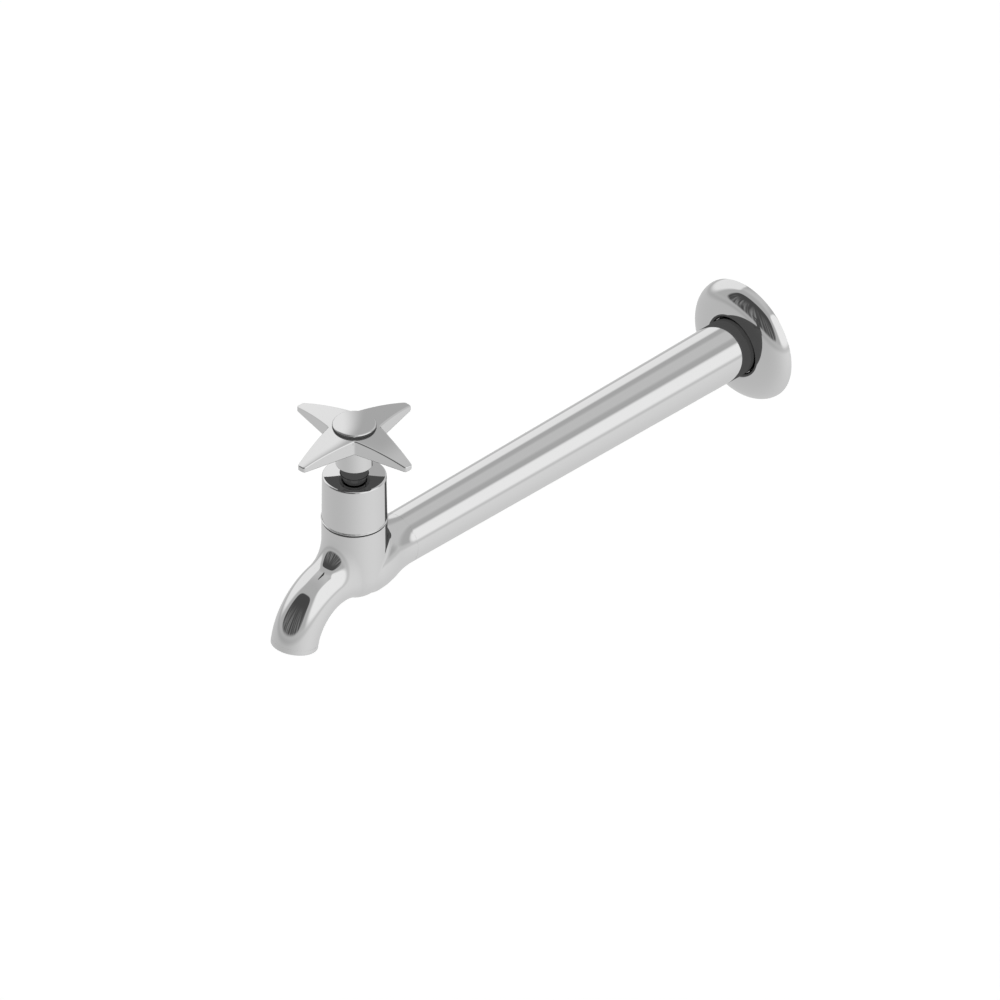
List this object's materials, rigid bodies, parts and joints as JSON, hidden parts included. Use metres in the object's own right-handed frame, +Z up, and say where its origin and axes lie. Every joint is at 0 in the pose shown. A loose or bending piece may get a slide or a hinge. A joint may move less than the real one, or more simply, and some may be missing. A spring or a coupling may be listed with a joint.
{
  "type": "sink tap",
  "caption": "Wall-mounted bib tap with a long tapered arm, round sliding wall flange, upright valve body, down-turned spout and star-shaped cross handle.",
  "frame": {"origin": "on the wall plane, on the arm's axis, where the inlet tail enters the wall", "axes": "+Z up along the spindle's direction, +Y into the wall along the arm, +X to the right seen from in front"},
  "size_m": [0.067, 0.3021, 0.1039],
  "materials": {
    "plated_brass": "bright chrome plate",
    "bare_brass": "machined",
    "black_rubber": "matt",
    "red_fibre": "matt",
    "graphite_packing": "matt",
    "stainless_steel": "brushed"
  },
  "bodies": {
    "tap": {"tap_body": "plated_brass", "arm_tube": "plated_brass", "inlet_tail": "bare_brass", "body_washer": "red_fibre", "headwork_body": "bare_brass", "shroud_ring": "black_rubber", "bonnet_shroud": "plated_brass", "gland_packing": "graphite_packing", "gland_follower": "bare_brass", "gland_nut": "plated_brass"},
    "jumper": {"jumper_valve": "bare_brass", "tap_washer": "black_rubber", "washer_nut": "bare_brass"},
    "handle": {"spindle": "bare_brass", "cross_handle": "plated_brass", "spring_washer": "stainless_steel", "handle_screw": "stainless_steel", "handle_cap": "plated_brass", "cap_ring": "black_rubber"},
    "flange": {"wall_flange": "plated_brass", "grip_ring": "black_rubber"}
  },
  "joints": [
    {"name": "valve_lift", "type": "slide", "parent": "tap", "child": "jumper", "axis": [0, 0, 1], "range_m": [0, 0.0045]},
    {"name": "handle_turn", "type": "hinge", "parent": "jumper", "child": "handle", "pos_m": [0, -0.2404, 0], "axis": [0, 0, 1], "range_deg": [0, 810]},
    {"name": "flange_slide", "type": "slide", "parent": "tap", "child": "flange", "axis": [0, -1, 0], "range_m": [0, 0.19]}
  ],
  "couplings": [
    {"joint": "valve_lift", "follows": "handle_turn", "m_per_rad": 0.0003183}
  ]
}
